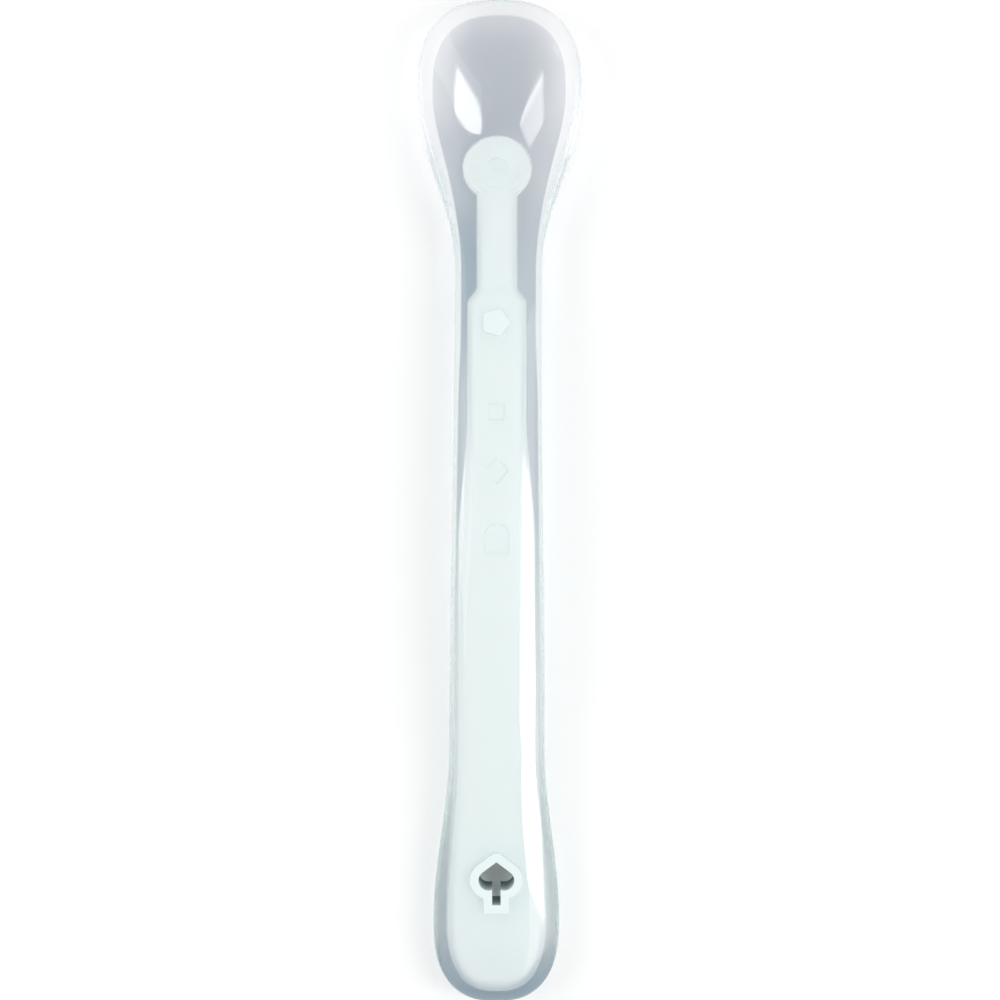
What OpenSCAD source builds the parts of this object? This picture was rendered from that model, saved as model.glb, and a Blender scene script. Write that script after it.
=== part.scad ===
// Weaning spoon for a baby: a stiff plastic core cast into one clear silicone moulding.
// X runs across the spoon, Y along it towards the tip of the bowl, Z up from the table.
// The spoon lies on its back, with the bowl and the tail of the grip on the table.
// Places along the spoon are counted from the tip of the bowl.

/* [Silicone body] */
// Length of the whole spoon, from the tip of the bowl to the end of the tail
spoon_len = 155; // [145:0.5:175]
// Width across the widest part of the bowl
bowl_w = 25.7; // [23:0.1:29]
// Height of the rim of the bowl above the table
rim_h = 7.2; // [6.6:0.1:8]
// Thickness of the floor of the bowl
floor_t = 2; // [1.8:0.1:2.4]
// Width of the rounded lip round the bowl
lip_w = 2.7; // [2.2:0.1:3.2]
// Fall from the crest of the lip to its inner edge
lip_fall = 0.4; // [0.2:0.05:0.6]
// Radius of the lower edge of the lip
lip_under = 1; // [0.6:0.1:1.4]
// Width of the lip where the bowl fades into the neck
lip_end_w = 1.1; // [0.8:0.1:1.6]
// Width of the neck
neck_w = 13.4; // [12.4:0.1:15]
// Thickness of the neck
neck_t = 5.8; // [5.6:0.1:6.4]
// Height of the middle line above the table, where the neck leaves the bowl
neck_h = 5; // [4.8:0.1:5.6]
// Width of the grip at its middle
grip_w = 14.7; // [14:0.1:17]
// Thickness of the grip at the top of its arch
grip_t = 7; // [6.6:0.1:8]
// Height of the middle of the grip above the table, at the top of its arch
arch_h = 8.2; // [7.4:0.1:9.4]
// Width across the tail
tail_w = 19.5; // [18.6:0.1:22]
// Thickness of the tail
tail_t = 7.6; // [7.2:0.1:8.4]

/* [Places along the spoon] */
// Place of the widest part of the bowl
bowl_wide_at = 14; // [12.5:0.1:15.5]
// Place of the deepest part of the bowl
bowl_deep_at = 20; // [18.5:0.1:21]
// Place where the lip of the bowl starts to narrow
lip_narrow_at = 21.5; // [20:0.1:23]
// Place where the hollow of the bowl ends
hollow_end_at = 41; // [39:0.1:42]
// Place where the bowl has narrowed to the neck
neck_at = 42; // [41:0.1:43]
// Place of the top of the arch in the grip
arch_at = 84; // [76:0.5:92]
// Distance from the end to the place where the tail begins to widen
tail_flare = 40; // [36:0.5:46]
// Distance from the end to the widest part of the tail
tail_wide = 12.4; // [11.5:0.1:14]
// Distance from the end to the place where the tail lies flat on the table
tail_seat = 6.8; // [6:0.1:8]

/* [Stiff core] */
// Diameter of the disc under the back of the bowl
disc_d = 11; // [10.4:0.1:11.4]
// Thickness of the disc
disc_t = 1.5; // [1.2:0.1:1.7]
// Place of the middle of the disc
disc_at = 25.9; // [25.4:0.1:26.4]
// Silicone round the disc in the round boss over it
boss_wall = 0.35; // [0.3:0.05:0.6]
// Silicone over the disc in the round boss
boss_skin = 0.3; // [0.25:0.05:0.5]
// Width of the step round the top of the disc
disc_step_w = 0.7; // [0.4:0.1:1]
// Height of each step on the disc
disc_step_h = 0.3; // [0.2:0.05:0.4]
// Diameter of the raised ring on the disc
ring_d = 6.2; // [5.6:0.1:6.8]
// Diameter of the round sink in the middle of the disc
sink_d = 3.3; // [2.8:0.1:4]
// Diameter of the dot in the middle of the sink
dot_d = 1.1; // [0.9:0.1:1.5]
// Width of the neck of the core
core_neck_w = 6.2; // [5.6:0.1:6.8]
// Thickness of the neck of the core
core_neck_t = 3.8; // [3.4:0.1:4.2]
// Place where the neck of the core steps up to its full thickness
core_step_at = 44.1; // [43.6:0.1:45]
// Width of the core behind its shoulder
core_shoulder_w = 8.6; // [7.8:0.1:9.4]
// Width of the core at the middle of the grip
core_grip_w = 11.2; // [10.2:0.1:11.8]
// Thickness of the core in the grip
core_grip_t = 5; // [4.4:0.1:5.2]
// Width of the core in the tail
core_tail_w = 14.8; // [14:0.1:15.6]
// Thickness of silicone past the end of the core
end_skin_t = 2; // [1.6:0.1:2.6]
// Clearance between the core and the silicone cast round it
cast_clearance = 0.04; // [0.02:0.01:0.06]

/* [Keyhole in the tail] */
// Distance from the end of the tail to the point of the keyhole
hole_back = 22.3; // [21.6:0.1:23]
// Height of the head of the keyhole, from its point to the middle of its lobes
hole_head_h = 2.85; // [2.6:0.05:3.2]
// Distance between the middles of the two lobes
lobe_gap = 2.4; // [2.2:0.1:2.8]
// Radius of each lobe
lobe_r = 1.55; // [1.4:0.05:1.7]
// Width of the stem of the keyhole
stem_w = 1.3; // [1.1:0.05:1.6]
// Length of the whole keyhole, from its point to the end of its stem
hole_len = 6.7; // [6.4:0.1:7]
// Wall of the collar round the keyhole
collar_wall = 1.3; // [1.1:0.05:1.4]
// Height of the collar above the silicone
collar_proud = 0.2; // [0.1:0.05:0.3]
// Depth of the back of the collar below the skin of the back
collar_sink = 0.4; // [0.3:0.05:0.6]

/* [Figures on the core] */
// Place of the middle of the raised stud
stud_at = 50.3; // [49.7:0.1:50.9]
// Diameter round the corners of the raised stud
stud_d = 4.4; // [3.9:0.1:4.8]
// Radius of the corners of the raised stud
stud_round = 0.5; // [0.3:0.05:0.7]
// Height of the stud above the silicone
stud_proud = 0.15; // [0.1:0.05:0.25]
// Place of the middle of the square
square_at = 63.9; // [63:0.1:65]
// Side of the square
square_w = 2.5; // [2:0.1:3]
// Place of the middle of the diamond
diamond_at = 72.9; // [72:0.1:74]
// Width of the diamond
diamond_w = 4; // [3.4:0.1:4.6]
// Length of the diamond
diamond_len = 4.3; // [3.8:0.1:4.8]
// Place of the flat base of the arch
arch_base_at = 85.1; // [84:0.1:86]
// Width of the arch
arch_w = 4.6; // [4:0.1:5]
// Length of the arch
arch_len = 4.8; // [4.2:0.1:5.4]
// Depth of the three sunk figures
figure_depth = 0.6; // [0.4:0.05:0.8]

/* [Hidden] */
// Power of the rounded outline at both ends, where two is an ellipse
end_power = 2.5;
// Powers of the cross sections of the neck, the grip and the core
neck_power = 3.2;
grip_power = 2.3;
core_power = 3;
// Power of the rise under the tip of the bowl, and powers of the hollow at its front and back
keel_power = 1.5;
hollow_power = 1.85;
hollow_back_power = 3;
// Steps in a quarter of a ring: the outer and inner halves of the lip, the hollow, the underside
lip_steps = 4;
inner_steps = 3;
hollow_steps = 8;
under_steps = 12;
core_steps = 6;
// Least half widths of the crest and the inner edge of the lip, as shares of the outer one
crest_share = 0.7;
inner_share = 0.5;
// Halvings in the search for how far a place lies inside the rim
halvings = 18;
// Overrun of every cut
overrun = 1;
round_facets = 64;

lip_crest_w = lip_w / 2;
edge_h = rim_h - lip_crest_w;
hollow_depth = rim_h - floor_t;
tail_flare_at = spoon_len - tail_flare;
tail_wide_at = spoon_len - tail_wide;
tail_seat_at = spoon_len - tail_seat;
core_end_at = spoon_len - end_skin_t;
hole_at = spoon_len - hole_back;
hole_middle_at = hole_at + hole_len / 2;
quarter = lip_steps + inner_steps + hollow_steps;

// Blends
function clamped(t) = min(1, max(0, t));
function ease(t) = (1 - cos(180 * clamped(t))) / 2;
function between(s, from, to) = ease((s - from) / (to - from));
function mix(a, b, t) = a + (b - a) * t;
// Rises from nothing to one as an end is rounded off
function round_end(t, power) = pow(1 - pow(1 - clamped(t), power), 1 / power);
// Rises from nothing to one at a slope that eases off
function swell(t, power) = 1 - pow(1 - clamped(t), power);
function curved(v, power) = pow(max(0, v), 2 / power);

// Half width of the silicone at a place along the spoon
function side_half(s) =
    mix(
        mix(
            mix(bowl_w, neck_w, between(s, bowl_wide_at, neck_at)),
            grip_w, between(s, neck_at + neck_w / 2, tail_flare_at)
        ),
        tail_w, between(s, tail_flare_at, tail_wide_at)
    ) / 2;
function outer_half(s) = side_half(s)
    * round_end(s / bowl_wide_at, end_power)
    * round_end((spoon_len - s) / tail_wide, end_power);

// Half width of an outline set in from the edge of the bowl by a part of the lip
function inset_half(s, set_in, least_share) = max(
    outer_half(s) * least_share,
    (side_half(s) - set_in) * round_end((s - set_in) / (bowl_wide_at - set_in), end_power)
);
function lip_at(s) = mix(lip_w, lip_end_w, between(s, lip_narrow_at, hollow_end_at));

// How far a place lies inside the edge of the bowl, up to a most
function is_outside(x, s, set_in) =
    pow(x / (side_half(s) - set_in), end_power)
    + pow((bowl_wide_at - s) / (bowl_wide_at - set_in), end_power) > 1;
function halved(x, s, low, high, turns) =
    let (middle = (low + high) / 2)
    turns == 0 ? high
    : is_outside(x, s, middle) ? halved(x, s, low, middle, turns - 1)
    : halved(x, s, middle, high, turns - 1);
function inset_of(x, s, most) =
    s >= bowl_wide_at ? clamped((side_half(s) - x) / most) * most
    : halved(x, s, 0, most, halvings);

// Powers of the sections: rounder at the front of the bowl, squarer at the neck
function shell_power(s) = mix(hollow_power, hollow_back_power, between(s, lip_w, hollow_end_at));
function section_power(s) = mix(neck_power, grip_power, between(s, neck_at, arch_at));

// Height of the upper side of the bowl: over the rounded lip and down into the hollow
function hollow_at(s) = (hollow_depth - lip_fall)
    * swell((s - lip_w) / (bowl_deep_at - lip_w), hollow_power)
    * (1 - between(s, bowl_deep_at, hollow_end_at));
function bowl_top(x, s) =
    let (
        lip = lip_at(s),
        inset = inset_of(x, s, lip) / lip * 2,
        fall = lip_fall * (1 - between(s, bowl_deep_at, hollow_end_at)),
        edge = mix(rim_h - fall, rim_h, round_end(2 - inset, 2)),
        inner = inset_half(s, lip, 0)
    )
    inset < 1 ? mix(edge_h, rim_h, round_end(inset, 2))
    : s <= lip_w || x >= inner ? edge
    : edge - hollow_at(s) * (1 - pow(x / inner, shell_power(s)));

// Heights of the widest line, the middle of the top and the middle of the underside
function middle_h(s) =
    mix(
        mix(neck_h, arch_h, sin(90 * clamped((s - lip_narrow_at) / (arch_at - lip_narrow_at)))),
        tail_t / 2, between(s, arch_at, tail_seat_at)
    );
function half_t(s) =
    mix(
        mix(neck_t, grip_t, between(s, neck_at, arch_at)),
        tail_t, between(s, arch_at, tail_seat_at)
    ) / 2 * round_end((spoon_len - s) / tail_t * 2, 2);
function neck_blend(s) = between(s, lip_narrow_at, neck_at);
function bowl_under(s) = edge_h * (1 - round_end(s / bowl_deep_at, keel_power));
function under_line(s) = mix(bowl_under(s), middle_h(s) - half_t(s), between(s, bowl_deep_at, neck_at));
function top_line(s) = mix(bowl_top(0, s), middle_h(s) + half_t(s), neck_blend(s));
function core_line(s) = (top_line(s) + under_line(s)) / 2;

// Upper quarter of a ring across the bowl: over the lip and down into the hollow
function bowl_quarter(s) =
    let (
        outer = outer_half(s),
        crest = inset_half(s, lip_at(s) / 2, crest_share),
        inner = inset_half(s, lip_at(s), inner_share),
        places = concat(
            [for (i = [0 : lip_steps]) mix(crest, outer, cos(90 * i / lip_steps))],
            [for (i = [1 : inner_steps]) mix(crest, inner, sin(90 * i / inner_steps))],
            [for (i = [1 : hollow_steps]) inner * cos(90 * i / hollow_steps)]
        )
    )
    [for (x = places) [x, bowl_top(x, s)]];
// Upper quarter of a ring across the neck or the grip
function grip_quarter(s) = [for (i = [0 : quarter]) let (a = 90 * i / quarter)
    [outer_half(s) * curved(cos(a), section_power(s)),
     middle_h(s) + half_t(s) * curved(sin(a), section_power(s))]];
function upper_quarter(s) =
    let (from = bowl_quarter(s), to = grip_quarter(s), t = neck_blend(s))
    [for (i = [0 : quarter]) mix(from[i], to[i], t)];

// Lower quarter of a ring: round the lower edge of the lip and down the outside of the shell
function bowl_lower(s) =
    let (
        outer = outer_half(s),
        power = shell_power(s),
        bottom = under_line(s),
        drop = edge_h - bottom,
        radius = min(lip_under, outer / 2, drop / 2),
        turn = atan2(outer, drop * power),
        x_from = outer - radius * (1 - cos(turn)),
        z_from = edge_h - radius * sin(turn),
        steps = under_steps - lip_steps
    )
    concat(
        [for (i = [1 : lip_steps]) let (a = turn * i / lip_steps)
            [outer - radius * (1 - cos(a)), edge_h - radius * sin(a)]],
        [for (i = [1 : steps]) let (c = cos(90 * i / steps))
            [x_from * c, mix(bottom, z_from, pow(c, power))]]
    );
function grip_lower(s) = [for (i = [1 : under_steps]) let (a = 90 * i / under_steps)
    [outer_half(s) * curved(cos(a), section_power(s)),
     mix(middle_h(s), under_line(s), curved(sin(a), section_power(s)))]];
function lower_quarter(s) =
    let (from = bowl_lower(s), to = grip_lower(s), t = neck_blend(s))
    [for (i = [0 : under_steps - 1]) mix(from[i], to[i], t)];

// Turns the right-hand quarters into a closed ring at a place along the spoon
function full_ring(upper, lower, s) =
    let (
        y = spoon_len / 2 - s,
        top = len(upper) - 1,
        low = len(lower) - 1
    )
    concat(
        [for (i = [0 : top]) [upper[i][0], y, upper[i][1]]],
        [for (i = [top - 1 : -1 : 0]) [-upper[i][0], y, upper[i][1]]],
        [for (i = [0 : low]) [-lower[i][0], y, lower[i][1]]],
        [for (i = [low - 1 : -1 : 0]) [lower[i][0], y, lower[i][1]]]
    );
function body_ring(s) = full_ring(upper_quarter(s), lower_quarter(s), s);

// Half width and half thickness of the core, made larger all round by a clearance
function core_half(s, grow) =
    mix(
        mix(
            mix(core_neck_w, core_shoulder_w, between(s, core_step_at, core_step_at + core_neck_w)),
            core_grip_w, between(s, core_step_at + core_neck_w, spoon_len - 2 * tail_flare)
        ),
        core_tail_w, between(s, tail_flare_at, tail_wide_at)
    ) / 2 * round_end((core_end_at - s) / (tail_wide - end_skin_t), end_power) + grow;
function core_half_t(s, grow) =
    mix(
        mix(disc_t - disc_step_h, core_neck_t, between(s, disc_at, neck_at)),
        core_grip_t, between(s, core_step_at - disc_step_h, core_step_at + disc_step_h)
    ) / 2 * round_end((core_end_at - s) / core_grip_t * 2, 2) + grow;
function core_ring(s, grow) =
    let (
        half = core_half(s, grow),
        thick = core_half_t(s, grow),
        mid = core_line(s),
        upper = [for (i = [0 : core_steps]) let (a = 90 * i / core_steps)
            [half * curved(cos(a), core_power), mid + thick * curved(sin(a), core_power)]],
        lower = [for (i = [1 : core_steps]) let (a = 90 * i / core_steps)
            [half * curved(cos(a), core_power), mid - thick * curved(sin(a), core_power)]]
    )
    full_ring(upper, lower, s);

// Places of the rings, closer together at the rounded ends
function spread(from, to, count) = [for (i = [0 : count - 1]) mix(from, to, i / count)];
function end_spread(at, wide, count) = [for (i = [1 : count]) mix(at, wide, 1 - cos(90 * i / count))];
body_places = concat(
    end_spread(0, bowl_wide_at, 16),
    [for (i = [1 : 14]) mix(bowl_wide_at, neck_at, i / 14)],
    [for (i = [1 : 17]) mix(neck_at, tail_flare_at, i / 17)],
    [for (i = [1 : 9]) mix(tail_flare_at, tail_wide_at, i / 9)],
    [for (i = [8 : -1 : 1]) mix(spoon_len, tail_wide_at, 1 - cos(90 * i / 9))]
);
core_places = concat(
    spread(disc_at, core_step_at - disc_step_h, 9),
    spread(core_step_at - disc_step_h, core_step_at + disc_step_h, 3),
    spread(core_step_at + disc_step_h, core_step_at + core_neck_w, 4),
    spread(core_step_at + core_neck_w, tail_flare_at, 14),
    spread(tail_flare_at, tail_wide_at, 8),
    [for (i = [8 : -1 : 1]) mix(core_end_at, tail_wide_at, 1 - cos(90 * i / 8))]
);

// Skin over a row of rings, closed to a point at each end and alike on both sides
module loft(start, rings, finish) {
    count = len(rings[0]);
    points = concat([start], [for (ring = rings) each ring], [finish]);
    last = len(points) - 1;
    faces = concat(
        [for (j = [0 : count - 1]) [0, 1 + j, 1 + (j + 1) % count]],
        [for (i = [0 : len(rings) - 2], j = [0 : count - 1])
            let (
                a = 1 + i * count + j,
                b = 1 + i * count + (j + 1) % count,
                right = rings[i][j][0] + rings[i][(j + 1) % count][0] > 0
            )
            each right
                ? [[a, a + count, b], [b, a + count, b + count]]
                : [[a, a + count, b + count], [a, b + count, b]]],
        [for (j = [0 : count - 1]) [last, last - count + (j + 1) % count, last - count + j]]
    );
    polyhedron(points = points, faces = faces, convexity = 6);
}

// Sets its children on the middle surface at a place along the spoon, turned to its slope
module seated(s, height) {
    step = disc_step_w;
    slope = atan2(core_line(s - step) - core_line(s + step), 2 * step);
    translate([0, spoon_len / 2 - s, core_line(s)])
        rotate([slope, 0, 0])
        translate([0, 0, height])
        children();
}

// Sets its children on the chord of the middle surface across the disc
module disc_seated() {
    front = disc_at - disc_d / 2;
    back = disc_at + disc_d / 2;
    slope = atan2(core_line(front) - core_line(back), disc_d);
    translate([0, spoon_len / 2 - disc_at, (core_line(front) + core_line(back)) / 2])
        rotate([slope, 0, 0])
        children();
}

// Outline of the keyhole with its point up at the origin, made larger all round
module spade(grow) {
    reach = norm([hole_head_h, lobe_gap / 2]);
    lean = atan2(lobe_gap / 2, hole_head_h) + asin(lobe_r / reach);
    lobe = lobe_r + grow;
    touch_x = lobe_gap / 2 + lobe * cos(lean);
    touch_y = -hole_head_h + lobe * sin(lean);
    tip_x = grow * cos(lean);
    tip_y = grow * sin(lean);
    polygon(concat(
        grow > 0 ? [[-tip_x, tip_y], [tip_x, tip_y]] : [[0, 0]],
        [
            [touch_x, touch_y],
            [lobe_gap / 2, -hole_head_h - lobe],
            [-lobe_gap / 2, -hole_head_h - lobe],
            [-touch_x, touch_y]
        ]
    ));
    if (grow > 0) circle(r = grow, $fn = round_facets);
    for (side = [-1, 1])
        translate([side * lobe_gap / 2, -hole_head_h]) circle(r = lobe, $fn = round_facets);
    translate([-stem_w / 2 - grow, -hole_len - grow])
        square([stem_w + 2 * grow, hole_len - hole_head_h + grow]);
}

// Disc with a stepped edge, a raised ring, a round sink and a dot
module disc_layer(wide, high, grow) {
    translate([0, 0, -disc_t / 2 - grow])
        cylinder(d = wide + 2 * grow, h = high + 2 * grow, $fn = round_facets);
}
module disc(grow) {
    disc_layer(disc_d, disc_t - disc_step_h, grow);
    disc_layer(disc_d - 2 * disc_step_w, disc_t - disc_step_h / 2, grow);
    disc_layer(ring_d, disc_t, grow);
}
module disc_sink(grow) {
    difference() {
        translate([0, 0, disc_t / 2 - disc_step_h + grow])
            cylinder(d = sink_d - 2 * grow, h = disc_step_h + overrun, $fn = round_facets);
        cylinder(d = dot_d + 2 * grow, h = disc_t / 2 + grow, $fn = round_facets);
    }
}

// The three sunk figures: a square, a diamond and a round-topped arch
module figures(grow) {
    low = core_grip_t / 2 - figure_depth + grow;
    high = figure_depth + overrun;
    seated(square_at, low)
        linear_extrude(high) square(square_w - 2 * grow, center = true);
    seated(diamond_at, low)
        linear_extrude(high) polygon([
            [diamond_w / 2 - grow, 0], [0, diamond_len / 2 - grow],
            [grow - diamond_w / 2, 0], [0, grow - diamond_len / 2]
        ]);
    seated(arch_base_at, low) linear_extrude(high) {
        translate([0, arch_len - arch_w / 2]) circle(d = arch_w - 2 * grow, $fn = round_facets);
        translate([grow - arch_w / 2, grow])
            square([arch_w - 2 * grow, arch_len - arch_w / 2 - grow]);
    }
}

// Five-sided stud that stands through the silicone
module stud(grow) {
    high = half_t(stud_at) + stud_proud;
    seated(stud_at, 0)
        translate([-stud_d / 4 * (1 - cos(36)), 0, 0])
        linear_extrude(high)
        offset(r = stud_round + grow, $fn = round_facets)
        circle(d = stud_d - 2 * stud_round, $fn = 5);
}

// Collar that lines the keyhole, seated at the middle of the keyhole
module collar(grow) {
    low = half_t(hole_middle_at) - collar_sink;
    high = half_t(hole_middle_at) + collar_proud;
    seated(hole_middle_at, -low)
        translate([0, hole_len / 2, 0])
        linear_extrude(low + high) spade(collar_wall + grow);
}
module keyhole() {
    seated(hole_middle_at, -tail_t)
        translate([0, hole_len / 2, 0])
        linear_extrude(2 * tail_t) spade(0);
}

// Everything stiff, without the keyhole, made larger all round by a clearance
module core_form(grow) {
    difference() {
        union() {
            loft(
                [0, spoon_len / 2 - disc_at + grow, core_line(disc_at)],
                [for (s = core_places) core_ring(s, grow)],
                [0, spoon_len / 2 - core_end_at - grow, core_line(core_end_at)]
            );
            disc_seated() disc(grow);
            stud(grow);
            collar(grow);
        }
        figures(grow);
        disc_seated() disc_sink(grow);
    }
}

// Round boss of silicone over the disc, with a sloped edge
module boss() {
    wide = disc_d + 2 * boss_wall;
    disc_seated() translate([0, 0, -disc_t / 2]) {
        cylinder(d = wide, h = disc_t + boss_skin / 2, $fn = round_facets);
        translate([0, 0, disc_t + boss_skin / 2])
            cylinder(d1 = wide, d2 = wide - boss_skin, h = boss_skin / 2, $fn = round_facets);
    }
}

module silicone_body() {
    color([0.9, 0.94, 0.96, 0.45])
    difference() {
        union() {
            loft(
                [0, spoon_len / 2, edge_h],
                [for (s = body_places) body_ring(s)],
                [0, -spoon_len / 2, middle_h(spoon_len)]
            );
            boss();
        }
        core_form(cast_clearance);
        through_collar();
    }
}

// Opening in the back of the silicone behind the collar
module through_collar() {
    seated(hole_middle_at, -tail_t)
        translate([0, hole_len / 2, 0])
        linear_extrude(tail_t) spade(collar_wall + cast_clearance);
}

module stiff_core() {
    color([0.86, 0.94, 0.93])
    difference() {
        core_form(0);
        keyhole();
    }
}

silicone_body();
stiff_core();
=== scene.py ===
"""Looks of a weaning spoon: a pale mint core cast into one clear silicone moulding."""
import math
from types import SimpleNamespace

import bpy
from bpy.props import FloatProperty, FloatVectorProperty, IntProperty, PointerProperty
from mathutils import Matrix, Vector


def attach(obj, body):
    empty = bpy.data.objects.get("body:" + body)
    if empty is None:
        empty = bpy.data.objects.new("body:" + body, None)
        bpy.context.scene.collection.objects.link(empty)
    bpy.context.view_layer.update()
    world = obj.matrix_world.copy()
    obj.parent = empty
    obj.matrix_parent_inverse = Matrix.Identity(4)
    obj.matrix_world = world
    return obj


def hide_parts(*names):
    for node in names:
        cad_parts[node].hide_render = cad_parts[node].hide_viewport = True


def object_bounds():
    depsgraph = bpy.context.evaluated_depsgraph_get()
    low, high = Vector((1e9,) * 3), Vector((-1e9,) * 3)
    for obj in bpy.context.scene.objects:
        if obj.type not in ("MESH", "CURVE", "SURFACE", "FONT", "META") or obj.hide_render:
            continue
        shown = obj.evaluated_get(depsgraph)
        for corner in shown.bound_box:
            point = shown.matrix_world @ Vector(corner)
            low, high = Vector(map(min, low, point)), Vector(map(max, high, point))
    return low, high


bl_info = {
    "name": "Weaning spoon",
    "version": (1, 0, 0),
    "blender": (4, 5, 0),
    "location": "View3D > Sidebar > Spoon",
    "description": "Builds a clear silicone weaning spoon over a stiff mint core",
    "category": "Object",
}

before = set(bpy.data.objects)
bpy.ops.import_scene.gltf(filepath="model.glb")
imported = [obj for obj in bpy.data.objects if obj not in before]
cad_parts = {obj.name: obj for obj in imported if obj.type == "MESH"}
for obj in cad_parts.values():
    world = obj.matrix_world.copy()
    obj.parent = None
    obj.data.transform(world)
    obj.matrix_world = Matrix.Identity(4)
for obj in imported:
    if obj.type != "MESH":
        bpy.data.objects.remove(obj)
CAD_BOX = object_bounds()
LOW, HIGH = CAD_BOX
MM = 0.001
GRIP_T = 7.0
ROOT = "root"

# Faces in the bowl and on the grip where a coat is laid only where the lamp highlights fall: painted highlight
# strength over real reflections; corners across and along the spoon in millimetres
HIGHLIGHT_LEFT = ((-6.7, 9.6), (-3.2, 15.1), (-2.2, 18.5), (-2.7, 20.5), (-4.6, 20.8), (-7.1, 17.3),
               (-7.1, 13.7))
HIGHLIGHT_RIGHT = ((7.05, 19.1), (4.7, 22.7), (3.0, 18.8), (3.33, 17.1), (6.9, 10.45))
HIGHLIGHT_GRIP = ((3.75, 68.0), (5.4, 78.0), (7.4, 138.0), (7.6, 143.5), (4.0, 134.5), (3.4, 121.0),
               (3.5, 100.0))
HIGHLIGHT_FADE = 0.35

# Painted shade in the silicone from one place to the next, on the left and on the right
SHADE_STEPS = (
    ("bowl_wide_at", "disc_at", 0.54, 0.49),
    ("disc_at", "neck_full_at", 0.94, 0.58),
    ("stud_at", "square_at", 0.6, 0.6),
    ("square_at", "tail_flare_at", 0.22, 0.22),
    ("tail_flare_at", "tail_wide_at", 0.48, 0.3),
    ("tail_wide_at", "core_end_at", 1.0, 1.0),
)
# Reaches and strengths of the painted shade in the silicone and on the core, and of the highlight coat's
# streak
GRIP_RIM, TAIL_RIM, TAIL_SEEN_WIDER = 0.8 * MM, 0.9 * MM, 0.3 * MM
BOWL_FADE, TAIL_FADE, CORE_FADE, DISC_FADE = 0.25 * MM, 0.9 * MM, 0.25 * MM, 0.2 * MM
SATIN_FADE = 0.3 * MM
DISC_SHADOW, DISC_SHADOW_REACH, DISC_SHADOW_WAY = 0.24, 0.9 * MM, (-1.2, 0.3)
BOWL_SHADE, BOWL_DEEPER, BOWL_DEEPER_OVER = 0.42, 0.08, 3 * MM
SIDE_LIGHTER, SIDE_FROM = 0.1, 4 * MM
UPPER_FROM, UPPER_OVER = -0.35, 0.5
STREAK_LEAST, STREAK_FROM, STREAK_FADE = 0.5, 1.3, 0.9
TIP_SHADE, WALL_SHADE = 0.1, 0.35
EDGE_ANGLE, SMOOTH_ANGLE = math.radians(40), math.radians(35)


def length(name, description, default_mm):
    """A size of the spoon, written in millimetres and kept in metres."""
    return FloatProperty(name=name, description=description, default=default_mm * MM,
                         unit="LENGTH", precision=5)


def share(name, description, default):
    """A plain number such as a power or a strength."""
    return FloatProperty(name=name, description=description, default=default)


def angle(name, description, default_degrees):
    """An angle, written in degrees and kept in radians."""
    return FloatProperty(name=name, description=description, default=math.radians(default_degrees),
                         subtype="ANGLE")


def colour(name, description, default):
    """A colour that a user may change."""
    return FloatVectorProperty(name=name, description=description, default=default,
                               size=3, subtype="COLOR", min=0.0, max=1.0)


class SpoonBodySizes(bpy.types.PropertyGroup):
    """Sizes and places of the silicone moulding, counted from the tip of the bowl."""
    spoon_len: length("Length", "Tip of the bowl to end of the tail", (HIGH.y - LOW.y) / MM)
    bowl_w: length("Bowl width", "Width across the bowl", (HIGH.x - LOW.x) / MM)
    rim_h: length("Rim height", "Height of the rim above the table", 7.2)
    floor_t: length("Floor", "Thickness of the floor of the bowl", 2.0)
    lip_w: length("Lip width", "Width of the rounded lip", 2.7)
    lip_under: length("Lip underside", "Radius of the lower edge of the lip", 1.0)
    lip_end_w: length("Lip end width", "Width of the lip at the neck", 1.1)
    neck_w: length("Neck width", "Width of the neck", 13.4)
    neck_t: length("Neck thickness", "Thickness of the neck", 5.8)
    neck_h: length("Neck height", "Height of the middle line behind the bowl", 5.0)
    grip_w: length("Grip width", "Width of the grip at its middle", 14.7)
    grip_t: length("Grip thickness", "Thickness of the grip at its top", GRIP_T)
    arch_h: length("Arch height", "Height of the middle line at its top", HIGH.z / MM - GRIP_T / 2)
    tail_w: length("Tail width", "Width across the tail", 19.5)
    tail_t: length("Tail thickness", "Thickness of the tail", 7.6)
    bowl_wide_at: length("Bowl widest", "Place of the widest part of the bowl", 14.0)
    bowl_deep_at: length("Bowl deepest", "Place of the deepest part of the bowl", 20.0)
    lip_narrow_at: length("Lip narrows", "Place where the lip starts to narrow", 21.5)
    hollow_end_at: length("Hollow end", "Place where the hollow ends", 41.0)
    neck_at: length("Neck start", "Place where the bowl has narrowed to the neck", 42.0)
    arch_at: length("Arch top", "Place of the top of the arch", 84.0)
    tail_flare: length("Tail flare", "From the end to where the tail widens", 40.0)
    tail_wide: length("Tail widest", "From the end to the widest part of the tail", 12.4)
    tail_seat: length("Tail seat", "From the end to where the tail lies flat", 6.8)
    end_power: share("End power", "Power of the rounded outline at both ends", 2.5)
    grip_power: share("Grip power", "Power of the section of the grip", 2.3)
    neck_power: share("Neck power", "Power of the section of the neck", 3.2)
    keel_power: share("Keel power", "Power of the rise under the tip of the bowl", 1.5)
    hollow_power: share("Hollow power", "Power of the section of the hollow", 1.85)
    hollow_back_power: share("Hollow back power", "Power of the section of the hollow by the neck", 3.0)
    lip_fall: length("Lip fall", "Fall from the crest of the lip to its inner edge", 0.4)
    lip_steps: IntProperty(name="Lip steps", description="Faces over the outer half of the lip", default=10)
    inner_steps: IntProperty(name="Inner steps", description="Faces over the inner half of the lip", default=8)
    hollow_steps: IntProperty(name="Hollow steps", description="Faces across half of the hollow", default=34)
    under_steps: IntProperty(name="Under steps", description="Faces across half of the underside", default=30)


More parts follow.
